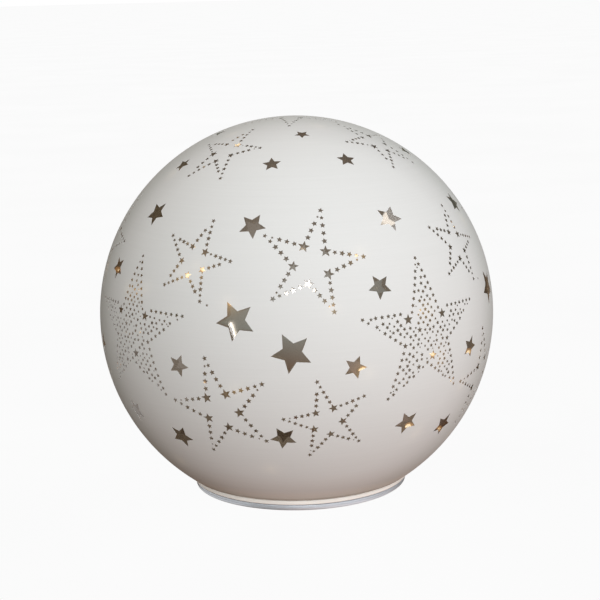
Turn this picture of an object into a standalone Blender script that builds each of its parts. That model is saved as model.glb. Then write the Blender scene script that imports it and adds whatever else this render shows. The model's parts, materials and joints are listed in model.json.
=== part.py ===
"""Battery-powered glass ball lamp.

A blown glass ball, open at the bottom, stands on a round plastic base tray. The tray reaches up
into the ball and holds three AA cells behind a hinged door, a small timer board with a slide
switch, and a screwed cover. A string of micro LEDs leaves the cover through a rubber grommet and
winds around the inside of the glass.

The origin is the middle of the table plane that the four rubber feet stand on. +Z is up and the
front of the lamp faces -Y. Lengths are written in millimetres, angles in degrees, and every mesh
is scaled to metres as it is made.
"""
import math

import bmesh
import bpy
from mathutils import Matrix, Vector

MM = 0.001
GAP = 0.3                       # clearance between neighbouring pieces

# Glass ball
BALL_RADIUS = 100.0
BALL_CENTRE_Z = 89.2
GLASS_WALL = 2.0
RIM_Z = 6.4                     # end face of the glass
RIM_INNER_RADIUS = 52.4
RIM_OUTER_RADIUS = 55.3
RIM_ROUND_START_Z = 7.2         # where the ball starts to round into its end face
BALL_SIDES = 40
BALL_RINGS = 14                 # rings of the outer and of the inner skin

# Base tray
FLANGE_RADIUS = 54.6
FLANGE_UNDERSIDE_Z = 1.0
FLOOR_UNDERSIDE_Z = 2.0
FLOOR_TOP_Z = 4.0
FLANGE_INNER_RADIUS = 51.3
FLANGE_ROUND = 0.6
TRAY_WALL_RADIUS = 51.2
TRAY_WALL = 1.8
TRAY_TOP_Z = 21.5
BASE_SIDES = 48
ROOT = 1.0                      # how far a block or boss is sunk into the floor it stands on

# Cells and their well
CELL_RADIUS = 7.25
CELL_LENGTH = 50.5
CELL_PITCH = 15.0
NUB_RADIUS = 2.75
NUB_LENGTH = 1.2
WELL_HALF_X = 29.0
WELL_HALF_Y = 23.0
WELL_TOP_Z = 19.2
WELL_WALL = 1.6
CONTACT_THICKNESS = 0.4
CONTACT_WIDTH = 11.0
CONTACT_BOTTOM_Z = 5.5
CONTACT_TOP_Z = 18.0
TAB_WIDTH = 2.4
TAB_Z = 14.6
TAB_REACH = 4.2
SPRING_WIRE_RADIUS = 0.4
SPRING_WIDE_RADIUS = 4.8
SPRING_NARROW_RADIUS = 3.0
SPRING_TURNS = 3.0

# Battery door
DOOR_THICKNESS = 1.8
DOOR_SIDE_GAP = 0.35
OPENING_LEFT_X = -35.1
OPENING_RIGHT_X = 31.35
OPENING_HALF_Y = 24.5
SEAT_MARGIN = 2.1               # reinforced frame around the opening
SEAT_TOP_Z = 5.8
HINGE_X = -33.0
HINGE_Z = 3.6
HINGE_BARREL_RADIUS = 1.55
HINGE_ROOM_TOP_Z = 5.8
HINGE_PIN_RADIUS = 1.0
HINGE_PIN_HOLE_RADIUS = 1.3
HINGE_PIN_END_Y = 26.8
HINGE_PIN_HOLE_END_Y = 27.2
TONGUE_HALF_Y = 4.0
TONGUE_TOP_Z = 6.0
TONGUE_THICKNESS = 0.8

# Timer board, switch and their screws
BOARD_CENTRE_Y = 36.0
BOARD_HALF_X = 17.0
BOARD_HALF_Y = 7.2
BOARD_UNDERSIDE_Z = 9.6
BOARD_THICKNESS = 1.6
BOARD_SCREW_X = 13.5
BOARD_SCREW_Y = 40.5
SWITCH_HALF_X = 6.4
SWITCH_HALF_Y = 3.0
SWITCH_TRAVEL = 5.0             # ON - OFF - TIMER, two steps of 2.5
KNOB_HALF_X = 1.5
KNOB_HALF_Y = 1.15
KNOB_END_Z = 1.0

# Cover
COVER_RADIUS = 51.0
COVER_THICKNESS = 1.6
COVER_LIP_RADIUS = 48.9
COVER_LIP_DEPTH = 1.9
BOSS_CIRCLE_RADIUS = 43.5
BOSS_ANGLE = 52.0
BOSS_RADIUS = 3.2
GROMMET_Y = 39.5
GROMMET_HOLE_RADIUS = 3.0

# Feet
FOOT_RADIUS = 4.0
FOOT_HEIGHT = 2.3
FOOT_CIRCLE_RADIUS = 46.2

# LED string: the wire lies close to the glass, and each place is one LED (longitude from the
# front towards +X, latitude above the ball's centre), in their order along the wire.
STRING_LIE_RADIUS = 94.6
STRING_WIRE_RADIUS = 0.45
LED_DROP_RADIUS = 1.8
LED_DROP_HALF_LENGTH = 3.0
LED_PLACES = (
    (180, -37), (222, -33), (266, -27), (312, -38), (350, -36), (394.5, -24), (437, -33),
    (482, -24), (526, -14), (566, -6), (606, -10), (642, -13), (690, -9), (736, -4.5),
    (759.5, -3), (776, -5), (818, 3), (858, 12), (898, 9), (936, 14), (969, 13), (1016.5, 18.5),
    (1031, 14), (1050, 21.5), (1098, 25), (1115, 6), (1152, 30), (1194, 44), (1240, 38),
    (1300, 46), (1345, 60), (1402, 67.5), (1490, 70),
)


# ---- shapes, in millimetres around their own origin ----

def box_shape(low, high, bevel=0.0):
    """A box between two corners, with its edges broken by bevel."""
    shape = bmesh.new()
    size = Vector(high) - Vector(low)
    middle = (Vector(high) + Vector(low)) / 2
    turn = Matrix.Translation(middle) @ Matrix.Diagonal(size.to_4d())
    bmesh.ops.create_cube(shape, size=1.0, matrix=turn)
    if bevel:
        bmesh.ops.bevel(shape, geom=shape.edges[:], offset=bevel, segments=1, affect="EDGES")
    return shape


def rod_shape(radius, start, end, sides=24, axis="Z"):
    """A round rod along an axis, from start to end."""
    shape = bmesh.new()
    turns = {"X": Matrix.Rotation(math.pi / 2, 4, "Y"), "Y": Matrix.Rotation(-math.pi / 2, 4, "X"),
             "Z": Matrix.Identity(4)}
    shift = Matrix.Translation((0, 0, (start + end) / 2))
    bmesh.ops.create_cone(shape, cap_ends=True, segments=sides, radius1=radius, radius2=radius,
                          depth=end - start, matrix=turns[axis] @ shift)
    return shape


def turned_shape(profile, sides, closed):
    """A profile of (radius, z) points spun about Z; a closed profile makes a ring."""
    shape = bmesh.new()
    verts = [shape.verts.new((radius, 0.0, z)) for radius, z in profile]
    ends = verts[1:] + (verts[:1] if closed else [])
    edges = [shape.edges.new(pair) for pair in zip(verts, ends)]
    bmesh.ops.spin(shape, geom=verts + edges, cent=(0, 0, 0), axis=(0, 0, 1),
                   angle=2 * math.pi, steps=sides, use_merge=True)
    bmesh.ops.remove_doubles(shape, verts=shape.verts[:], dist=0.001)
    return shape


def tube_shape(points, radii, sides):
    """A capped tube swept along points, whose section keeps from twisting."""
    shape = bmesh.new()
    points = [Vector(point) for point in points]
    last = len(points) - 1
    across = None
    rings = []
    for index, point in enumerate(points):
        along = (points[min(index + 1, last)] - points[max(index - 1, 0)]).normalized()
        if across is None:
            across = along.orthogonal()
        across = (across - along * across.dot(along)).normalized()
        beside = along.cross(across)
        ring = []
        for side in range(sides):
            angle = 2 * math.pi * side / sides
            offset = across * math.cos(angle) + beside * math.sin(angle)
            ring.append(shape.verts.new(point + offset * radii[index]))
        rings.append(ring)
    for lower, upper in zip(rings, rings[1:]):
        for side in range(sides):
            after = (side + 1) % sides
            shape.faces.new((lower[side], lower[after], upper[after], upper[side]))
    shape.faces.new(rings[0][::-1])
    shape.faces.new(rings[-1])
    return shape


# ---- objects ----

def material(name, colour, roughness, metallic=0.0):
    """A Principled material, made once for each name."""
    look = bpy.data.materials.get(name)
    if look is None:
        look = bpy.data.materials.new(name)
        look.use_nodes = True
        shader = look.node_tree.nodes["Principled BSDF"]
        shader.inputs["Base Color"].default_value = (*colour, 1.0)
        shader.inputs["Roughness"].default_value = roughness
        shader.inputs["Metallic"].default_value = metallic
        look.diffuse_color = (*colour, 1.0)
    return look


def solid(name, shape, look, place=(0, 0, 0), turn=(0, 0, 0)):
    """One closed object from a shape, at a place in millimetres and a turn in degrees."""
    bmesh.ops.recalc_face_normals(shape, faces=shape.faces[:])
    bmesh.ops.scale(shape, vec=(MM, MM, MM), verts=shape.verts[:])
    mesh = bpy.data.meshes.new(name)
    shape.to_mesh(mesh)
    shape.free()
    mesh.shade_smooth()
    mesh.set_sharp_from_angle(angle=math.radians(35))
    if look is not None:
        mesh.materials.append(look)
    piece = bpy.data.objects.new(name, mesh)
    piece.location = Vector(place) * MM
    piece.rotation_euler = [math.radians(angle) for angle in turn]
    bpy.context.scene.collection.objects.link(piece)
    return piece


def combine(piece, operation, shape, place=(0, 0, 0)):
    """Join a shape to a piece, or cut it out of it, with a Boolean modifier."""
    tool = solid("tool_" + piece.name, shape, None, place)
    tool.hide_render = True
    tool.display_type = "WIRE"
    step = piece.modifiers.new(operation.lower(), "BOOLEAN")
    step.operation = operation
    step.solver = "EXACT"
    step.object = tool


def join(piece, shape, place=(0, 0, 0)):
    combine(piece, "UNION", shape, place)


def cut(piece, shape, place=(0, 0, 0)):
    combine(piece, "DIFFERENCE", shape, place)


def on_circle(radius, angle):
    """x and y of a point on a circle around the lamp's axis."""
    return radius * math.cos(math.radians(angle)), radius * math.sin(math.radians(angle))


def four_around(radius, angle):
    """Four points on a circle, mirrored about the X and Y axes."""
    return [on_circle(radius, way) for way in (angle, 180 - angle, 180 + angle, -angle)]


# ---- glass ball and seal ----

def skin_points(radius, end_z):
    """Profile of a ball skin from its top pole down to a height."""
    end_angle = math.acos((end_z - BALL_CENTRE_Z) / radius)
    angles = [end_angle * ring / BALL_RINGS for ring in range(BALL_RINGS + 1)]
    return [(radius * math.sin(angle), BALL_CENTRE_Z + radius * math.cos(angle))
            for angle in angles]


def make_glass_globe():
    outer = skin_points(BALL_RADIUS, RIM_ROUND_START_Z)
    inner = skin_points(BALL_RADIUS - GLASS_WALL, RIM_Z)[:-1]
    round_point = (RIM_OUTER_RADIUS + 0.8, RIM_Z + 0.2)
    rim = [round_point, (RIM_OUTER_RADIUS, RIM_Z), (RIM_INNER_RADIUS, RIM_Z)]
    profile = outer + rim + inner[::-1]
    look = material("sprayed_glass", (0.80, 0.80, 0.79), 0.38)
    solid("glass_globe", turned_shape(profile, BALL_SIDES, closed=False), look)


def make_rim_seal():
    bottom = FLOOR_TOP_Z + GAP
    top = RIM_Z - GAP
    inner = TRAY_WALL_RADIUS + 0.4
    outer = RIM_OUTER_RADIUS
    profile = [(inner, bottom), (outer - 0.5, bottom), (outer - 0.1, bottom + 0.4),
               (outer, (bottom + top) / 2), (outer - 0.1, top - 0.3), (outer - 0.4, top),
               (inner, top)]
    look = material("cream_silicone", (0.80, 0.73, 0.66), 0.6)
    solid("rim_seal", turned_shape(profile, BASE_SIDES, closed=True), look)


# ---- base tray ----

def make_base_plate():
    """Floor, flange and standing wall in one turning, then the well, hinge, latch and bosses."""
    rounded = FLANGE_RADIUS - FLANGE_ROUND
    profile = [
        (0, FLOOR_UNDERSIDE_Z), (FLANGE_INNER_RADIUS - 0.4, FLOOR_UNDERSIDE_Z),
        (FLANGE_INNER_RADIUS, FLANGE_UNDERSIDE_Z), (rounded, FLANGE_UNDERSIDE_Z),
        (FLANGE_RADIUS - 0.15, FLANGE_UNDERSIDE_Z + 0.25),
        (FLANGE_RADIUS, FLANGE_UNDERSIDE_Z + FLANGE_ROUND),
        (FLANGE_RADIUS, FLOOR_TOP_Z - 0.4), (FLANGE_RADIUS - 0.4, FLOOR_TOP_Z),
        (TRAY_WALL_RADIUS, FLOOR_TOP_Z), (TRAY_WALL_RADIUS, TRAY_TOP_Z),
        (TRAY_WALL_RADIUS - TRAY_WALL, TRAY_TOP_Z), (TRAY_WALL_RADIUS - TRAY_WALL, FLOOR_TOP_Z),
        (0, FLOOR_TOP_Z),
    ]
    look = material("pale_plastic", (0.60, 0.63, 0.66), 0.45)
    base = solid("base_plate", turned_shape(profile, BASE_SIDES, closed=False), look)
    root_z = FLOOR_TOP_Z - ROOT
    add_well_walls(base, root_z)
    for x, y in four_around(BOSS_CIRCLE_RADIUS, BOSS_ANGLE):
        join(base, rod_shape(BOSS_RADIUS, root_z, TRAY_TOP_Z - 0.2), (x, y, 0))
    for side in (-1, 1):
        post = rod_shape(2.2, root_z, BOARD_UNDERSIDE_Z - GAP, sides=16)
        join(base, post, (side * BOARD_SCREW_X, BOARD_SCREW_Y, 0))
    cut_well_and_opening(base)
    cut_holes(base)


def add_well_walls(base, root_z):
    outer_x = WELL_HALF_X + WELL_WALL
    outer_y = WELL_HALF_Y + WELL_WALL
    join(base, box_shape((-outer_x, -outer_y, root_z), (outer_x, outer_y, WELL_TOP_Z + WELL_WALL)))
    seat_x = OPENING_RIGHT_X + SEAT_MARGIN
    seat_y = OPENING_HALF_Y + SEAT_MARGIN
    join(base, box_shape((-seat_x, -seat_y, root_z), (seat_x, seat_y, SEAT_TOP_Z)))
    hinge_y = HINGE_PIN_HOLE_END_Y + 1.0
    join(base, box_shape((OPENING_LEFT_X - 1.7, -hinge_y, root_z),
                         (-WELL_HALF_X - 0.6, hinge_y, HINGE_ROOM_TOP_Z + WELL_WALL)))
    latch_y = TONGUE_HALF_Y + 3.0
    join(base, box_shape((WELL_HALF_X + 0.2, -latch_y, root_z),
                         (seat_x + 0.2, latch_y, TONGUE_TOP_Z + 2.6)))


def cut_well_and_opening(base):
    below = -1.0
    cut(base, box_shape((-WELL_HALF_X, -WELL_HALF_Y, below),
                        (WELL_HALF_X, WELL_HALF_Y, WELL_TOP_Z)))
    door_seat_z = FLOOR_UNDERSIDE_Z + DOOR_THICKNESS + GAP
    cut(base, box_shape((OPENING_LEFT_X, -OPENING_HALF_Y, below),
                        (OPENING_RIGHT_X, OPENING_HALF_Y, door_seat_z)))
    cut(base, box_shape((OPENING_LEFT_X, -OPENING_HALF_Y, below),
                        (-WELL_HALF_X - WELL_WALL - GAP, OPENING_HALF_Y, HINGE_ROOM_TOP_Z)))
    pin_hole = rod_shape(HINGE_PIN_HOLE_RADIUS, -HINGE_PIN_HOLE_END_Y, HINGE_PIN_HOLE_END_Y,
                         sides=16, axis="Y")
    cut(base, pin_hole, (HINGE_X, 0, HINGE_Z))
    cut(base, box_shape((WELL_HALF_X + 0.5, -TONGUE_HALF_Y - 0.7, below),
                        (OPENING_RIGHT_X + 0.25, TONGUE_HALF_Y + 0.7, TONGUE_TOP_Z + 1.0)))
    cut(base, rod_shape(7.0, below, FLOOR_UNDERSIDE_Z + 1.0, sides=32), (36.0, 0, 0))


def cut_holes(base):
    for x, y in four_around(BOSS_CIRCLE_RADIUS, BOSS_ANGLE):
        cut(base, rod_shape(1.4, 9.0, TRAY_TOP_Z + 1.0, sides=16), (x, y, 0))
    for side in (-1, 1):
        pilot = rod_shape(1.05, 5.2, BOARD_UNDERSIDE_Z + 1.0, sides=12)
        cut(base, pilot, (side * BOARD_SCREW_X, BOARD_SCREW_Y, 0))
        wall_x = side * (WELL_HALF_X + WELL_WALL / 2)
        lead_slot = box_shape((-WELL_WALL, -2.0, TAB_Z - 1.0), (WELL_WALL, 2.0, TAB_Z + 1.0))
        cut(base, lead_slot, (wall_x, -side * CELL_PITCH, 0))
    slot_x = SWITCH_TRAVEL / 2 + KNOB_HALF_X + 0.5
    slot_y = KNOB_HALF_Y + 0.6
    cut(base, box_shape((-slot_x, -slot_y, -1.0), (slot_x, slot_y, FLOOR_TOP_Z + 1.0)),
        (0, BOARD_CENTRE_Y, 0))
    recess_top = FOOT_HEIGHT + GAP
    for x, y in four_around(FOOT_CIRCLE_RADIUS, 45.0):
        cut(base, rod_shape(FOOT_RADIUS + GAP, -1.0, recess_top, sides=24), (x, y, 0))


def make_feet():
    profile = [(0, 0), (FOOT_RADIUS - 0.4, 0), (FOOT_RADIUS, 0.5), (FOOT_RADIUS, FOOT_HEIGHT),
               (0, FOOT_HEIGHT)]
    look = material("grey_rubber", (0.30, 0.30, 0.31), 0.8)
    for number, (x, y) in enumerate(four_around(FOOT_CIRCLE_RADIUS, 45.0), start=1):
        foot = turned_shape(profile, 20, closed=False)
        solid(f"rubber_foot_{number}", foot, look, (x, y, 0))


# ---- battery door ----

def make_battery_door():
    """Flat door whose origin is on its hinge axis, with barrel, pins, tongue and ridges."""
    bottom = FLOOR_UNDERSIDE_Z - HINGE_Z
    top = bottom + DOOR_THICKNESS
    end_x = OPENING_RIGHT_X - DOOR_SIDE_GAP - HINGE_X
    half_y = OPENING_HALF_Y - DOOR_SIDE_GAP
    hinge = (HINGE_X, 0, HINGE_Z)
    look = material("door_plastic", (0.58, 0.61, 0.64), 0.5)
    door = solid("battery_door", box_shape((-0.4, -half_y, bottom), (end_x, half_y, top)), look,
                 hinge)
    join(door, rod_shape(HINGE_BARREL_RADIUS, -half_y + 0.1, half_y - 0.1, sides=16, axis="Y"),
         hinge)
    join(door, rod_shape(HINGE_PIN_RADIUS, -HINGE_PIN_END_Y, HINGE_PIN_END_Y, sides=12, axis="Y"),
         hinge)
    join(door, box_shape((end_x - TONGUE_THICKNESS - 0.05, -TONGUE_HALF_Y, top - 0.5),
                         (end_x - 0.05, TONGUE_HALF_Y, TONGUE_TOP_Z - HINGE_Z)), hinge)
    for side in (-1, 1):
        rib = box_shape((-22.0 - HINGE_X, -0.6, top - 0.5), (22.0 - HINGE_X, 0.6, top + 1.6))
        join(door, rib, (HINGE_X, side * CELL_PITCH / 2, HINGE_Z))
    for step in range(3):
        ridge = box_shape((-0.5, -6.0, bottom - 0.4), (0.5, 6.0, bottom + 0.5))
        join(door, ridge, (24.0 + 2.2 * step, 0, HINGE_Z))


# ---- cells and contacts ----

def cell_z():
    """Height of the cells' axes above the closed door."""
    return FLOOR_UNDERSIDE_Z + DOOR_THICKNESS + 2 * GAP + CELL_RADIUS


def make_cells():
    """Three cells side by side; the middle one lies the other way round."""
    body_end = CELL_LENGTH - NUB_LENGTH
    profile = [
        (0, 0), (CELL_RADIUS - 1.2, 0), (CELL_RADIUS - 0.3, 0.3), (CELL_RADIUS, 1.0),
        (CELL_RADIUS, body_end - 0.8), (CELL_RADIUS - 0.7, body_end), (NUB_RADIUS, body_end),
        (NUB_RADIUS, CELL_LENGTH - 0.3), (NUB_RADIUS - 0.4, CELL_LENGTH), (0, CELL_LENGTH),
    ]
    look = material("cell_sleeve", (0.20, 0.22, 0.25), 0.35, 0.6)
    nub_x = WELL_HALF_X - 0.1 - CONTACT_THICKNESS - GAP
    for number in (1, 2, 3):
        way = -1 if number == 2 else 1
        start_x = way * (nub_x - CELL_LENGTH)
        solid(f"battery_{number}", turned_shape(profile, 20, closed=False), look,
              (start_x, (number - 2) * CELL_PITCH, cell_z()), (0, 90 * way, 0))


def spring_points(length, steps_per_turn=9):
    """Conical coil along +X, widest at its start."""
    count = int(SPRING_TURNS * steps_per_turn)
    points = []
    for step in range(count + 1):
        part = step / count
        angle = 2 * math.pi * SPRING_TURNS * part
        radius = SPRING_WIDE_RADIUS + (SPRING_NARROW_RADIUS - SPRING_WIDE_RADIUS) * part
        points.append((length * part, radius * math.cos(angle), radius * math.sin(angle)))
    return points


def make_springs():
    look = material("spring_wire", (0.75, 0.75, 0.74), 0.25, 1.0)
    contact_x = WELL_HALF_X - 0.1 - CONTACT_THICKNESS
    cell_end_x = CELL_LENGTH + GAP - contact_x
    room = contact_x - cell_end_x
    length = room - 2 * GAP - 2 * SPRING_WIRE_RADIUS
    for number in (1, 2, 3):
        way = 1 if number == 2 else -1
        coil = spring_points(length)
        shape = tube_shape(coil, [SPRING_WIRE_RADIUS] * len(coil), 5)
        start_x = way * (contact_x - GAP - SPRING_WIRE_RADIUS)
        turn = 180 if number == 2 else 0
        solid(f"battery_spring_{number}", shape, look,
              (start_x, (number - 2) * CELL_PITCH, cell_z()), (0, 0, turn))


def make_contacts():
    """Plates 1 and 4 feed the leads, plates 2 and 3 link two cells each."""
    look = material("nickel_contact", (0.72, 0.71, 0.68), 0.3, 1.0)
    half = CONTACT_WIDTH / 2
    outer = CELL_PITCH + half
    spans = {1: (1, -outer, -CELL_PITCH + half), 2: (-1, -outer, half),
             3: (1, -half, outer), 4: (-1, CELL_PITCH - half, outer)}
    near = WELL_HALF_X - 0.1
    for number, (side, low_y, high_y) in spans.items():
        faces_x = sorted((side * near, side * (near - CONTACT_THICKNESS)))
        plate = solid(f"contact_plate_{number}",
                      box_shape((faces_x[0], low_y, CONTACT_BOTTOM_Z),
                                (faces_x[1], high_y, CONTACT_TOP_Z)), look)
        if number in (1, 4):
            tab_x = sorted((side * (near - CONTACT_THICKNESS / 2), side * (near + TAB_REACH)))
            middle_y = (low_y + high_y) / 2
            join(plate, box_shape((tab_x[0], middle_y - TAB_WIDTH / 2, TAB_Z - 0.2),
                                  (tab_x[1], middle_y + TAB_WIDTH / 2, TAB_Z + 0.2)))


# ---- board and switch ----

def board_top_z():
    return BOARD_UNDERSIDE_Z + BOARD_THICKNESS


def make_board():
    look = material("circuit_board_green", (0.05, 0.22, 0.10), 0.45)
    board = solid("circuit_board", box_shape(
        (-BOARD_HALF_X, BOARD_CENTRE_Y - BOARD_HALF_Y, BOARD_UNDERSIDE_Z),
        (BOARD_HALF_X, BOARD_CENTRE_Y + BOARD_HALF_Y, board_top_z())), look)
    for side in (-1, 1):
        hole = rod_shape(1.1, BOARD_UNDERSIDE_Z - 1, board_top_z() + 1, sides=16)
        cut(board, hole, (side * BOARD_SCREW_X, BOARD_SCREW_Y, 0))
    make_board_pieces(board_top_z() + GAP)


def make_board_pieces(rest_z):
    chip_look = material("black_epoxy", (0.02, 0.02, 0.022), 0.5)
    chip = solid("timer_chip", box_shape((-2.45, -1.95, 0.1), (2.45, 1.95, 1.5), 0.15), chip_look,
                 (6.0, BOARD_CENTRE_Y - 1.0, rest_z))
    for pin in range(4):
        pin_x = 6.0 + (pin - 1.5) * 1.27
        join(chip, box_shape((-0.2, -3.0, 0.0), (0.2, 3.0, 0.5)),
             (pin_x, BOARD_CENTRE_Y - 1.0, rest_z))
    can_look = material("crystal_can", (0.74, 0.74, 0.75), 0.2, 1.0)
    can = [(0, 0), (1.05, 0), (1.05, 5.7), (0.8, 6.0), (0, 6.0)]
    solid("quartz_crystal", turned_shape(can, 16, closed=False), can_look,
          (-9.0, BOARD_CENTRE_Y - 3.5, rest_z + 1.05), (0, 90, 0))
    tan_look = material("resistor_tan", (0.62, 0.45, 0.26), 0.45)
    body = [(0, 0), (0.3, 0), (0.3, 2.0), (1.0, 2.2), (1.15, 2.8), (0.95, 3.2), (0.95, 4.8),
            (1.15, 5.2), (1.0, 5.8), (0.3, 6.0), (0.3, 8.0), (0, 8.0)]
    solid("led_resistor", turned_shape(body, 12, closed=False), tan_look,
          (-10.5, BOARD_CENTRE_Y + 1.0, rest_z + 1.2), (0, 90, 0))


def make_switch():
    """Switch case under the board, and its slider, which stands at ON when the lamp is lit."""
    bottom = FLOOR_TOP_Z + GAP
    top = BOARD_UNDERSIDE_Z - GAP
    look = material("switch_metal", (0.66, 0.67, 0.68), 0.3, 1.0)
    case = solid("switch_body", box_shape((-SWITCH_HALF_X, -SWITCH_HALF_Y, bottom),
                                          (SWITCH_HALF_X, SWITCH_HALF_Y, top), 0.25), look,
                 (0, BOARD_CENTRE_Y, 0))
    place = (0, BOARD_CENTRE_Y, 0)
    cut(case, box_shape((-SWITCH_HALF_X + 0.5, -2.0, bottom + 0.7),
                        (SWITCH_HALF_X - 0.5, 2.0, bottom + 3.7)), place)
    slot_x = SWITCH_TRAVEL / 2 + KNOB_HALF_X + 0.3
    cut(case, box_shape((-slot_x, -KNOB_HALF_Y - 0.3, bottom - 1.0),
                        (slot_x, KNOB_HALF_Y + 0.3, bottom + 1.0)), place)
    knob_look = material("black_knob", (0.03, 0.03, 0.03), 0.5)
    rest = (-SWITCH_TRAVEL / 2, BOARD_CENTRE_Y, 0)
    slider = solid("switch_slider", box_shape((-3.0, -1.7, bottom + 1.0),
                                              (3.0, 1.7, bottom + 3.4)), knob_look, rest)
    join(slider, box_shape((-KNOB_HALF_X, -KNOB_HALF_Y, KNOB_END_Z),
                           (KNOB_HALF_X, KNOB_HALF_Y, bottom + 1.5)), rest)


# ---- screws ----

def screw_profile(shank_radius, shank_length, head_radius, head_height):
    """Pan-head screw; z = 0 is the underside of its head."""
    return [(0, -shank_length), (shank_radius * 0.4, -shank_length),
            (shank_radius, -shank_length + shank_radius), (shank_radius, 0), (head_radius, 0),
            (head_radius, head_height * 0.4), (head_radius * 0.8, head_height * 0.85),
            (head_radius * 0.5, head_height), (0, head_height)]


def make_screw(name, profile, place, slot_half, head_height):
    look = material("zinc_screw", (0.70, 0.71, 0.72), 0.3, 1.0)
    screw = solid(name, turned_shape(profile, 12, closed=False), look, place)
    width = slot_half * 0.22
    depth = head_height * 0.5
    cross = box_shape((-slot_half, -width, depth), (slot_half, width, head_height + 1))
    cut(screw, cross, place)
    cross = box_shape((-width, -slot_half, depth), (width, slot_half, head_height + 1))
    cut(screw, cross, place)


def make_screws():
    cover_head = screw_profile(1.15, 8.5, 2.6, 1.5)
    seat_z = TRAY_TOP_Z + GAP + COVER_THICKNESS / 2 + GAP
    for number, (x, y) in enumerate(four_around(BOSS_CIRCLE_RADIUS, BOSS_ANGLE), start=1):
        make_screw(f"cover_screw_{number}", cover_head, (x, y, seat_z), 1.5, 1.5)
    board_head = screw_profile(0.8, 5.0, 2.0, 1.2)
    for number, side in enumerate((-1, 1), start=1):
        place = (side * BOARD_SCREW_X, BOARD_SCREW_Y, board_top_z() + GAP)
        make_screw(f"board_screw_{number}", board_head, place, 1.1, 1.2)


# ---- cover and grommet ----

def make_cover():
    under = TRAY_TOP_Z + GAP
    top = under + COVER_THICKNESS
    lip_inner = COVER_LIP_RADIUS - 1.3
    profile = [(0, under), (lip_inner, under), (lip_inner, under - COVER_LIP_DEPTH),
               (COVER_LIP_RADIUS, under - COVER_LIP_DEPTH), (COVER_LIP_RADIUS, under),
               (COVER_RADIUS, under), (COVER_RADIUS, top - 0.4), (COVER_RADIUS - 0.4, top),
               (0, top)]
    look = material("cover_plastic", (0.78, 0.78, 0.77), 0.5)
    cover = solid("electronics_cover", turned_shape(profile, 36, closed=False), look)
    for x, y in four_around(BOSS_CIRCLE_RADIUS, BOSS_ANGLE):
        cut(cover, rod_shape(1.7, under - 1, top + 1, sides=12), (x, y, 0))
        cut(cover, rod_shape(3.1, under + COVER_THICKNESS / 2, top + 1, sides=16), (x, y, 0))
    cut(cover, rod_shape(GROMMET_HOLE_RADIUS, under - 1, top + 1, sides=16), (0, GROMMET_Y, 0))


def make_grommet():
    """Rubber ring whose groove grips the edge of the hole in the cover."""
    under = TRAY_TOP_Z + GAP
    top = under + COVER_THICKNESS
    groove = GROMMET_HOLE_RADIUS - GAP
    profile = [(1.4, under - 1.5), (4.0, under - 1.5), (4.2, under - GAP), (groove, under - GAP),
               (groove, top + GAP), (4.2, top + GAP), (3.8, top + 1.3), (1.4, top + 1.3)]
    look = material("grommet_rubber", (0.05, 0.05, 0.05), 0.8)
    solid("wire_grommet", turned_shape(profile, 16, closed=True), look, (0, GROMMET_Y, 0))


# ---- wiring ----

def smooth_path(points, steps):
    """Catmull-Rom curve through points, with its ends repeated."""
    points = [Vector(point) for point in points]
    padded = [points[0]] + points + [points[-1]]
    path = []
    for before, start, end, after in zip(padded, padded[1:], padded[2:], padded[3:]):
        for step in range(steps):
            part = step / steps
            path.append(0.5 * (2 * start + (end - before) * part
                               + (2 * before - 5 * start + 4 * end - after) * part ** 2
                               + (3 * start - before - 3 * end + after) * part ** 3))
    return path + [points[-1]]


def make_leads():
    """Leads from the two end contacts, around the well, down onto the board."""
    end_x = WELL_HALF_X - 0.1 + TAB_REACH + 0.5
    landing = board_top_z() + GAP + 0.1
    routes = {
        "battery_lead_red": ((0.75, 0.04, 0.03), [
            (end_x, -15, TAB_Z), (36.6, -10, 14), (37.6, 6, 12.5), (36.4, 20, 12.5),
            (30.6, 28.4, 13), (22, 29.8, 14.5), (15, 31, 15), (13.6, 31.6, 13),
            (13.5, 31.6, landing)]),
        "battery_lead_black": ((0.02, 0.02, 0.02), [
            (-end_x, 15, TAB_Z), (-36.2, 19, 14), (-35.4, 23.6, 12.5), (-30.6, 28.4, 13),
            (-22, 29.8, 14.5), (-15, 31, 15), (-13.6, 31.6, 13), (-13.5, 31.6, landing)]),
    }
    for name, (colour, route) in routes.items():
        path = smooth_path(route, 2)
        look = material(name + "_sleeve", colour, 0.4)
        solid(name, tube_shape(path, [0.6] * len(path), 6), look)


def ball_point(longitude, latitude, radius):
    """Point on a sphere around the ball's centre; longitude 0 is the front."""
    lon = math.radians(longitude)
    lat = math.radians(latitude)
    return Vector((radius * math.cos(lat) * math.sin(lon), -radius * math.cos(lat) * math.cos(lon),
                   BALL_CENTRE_Z + radius * math.sin(lat)))


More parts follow.
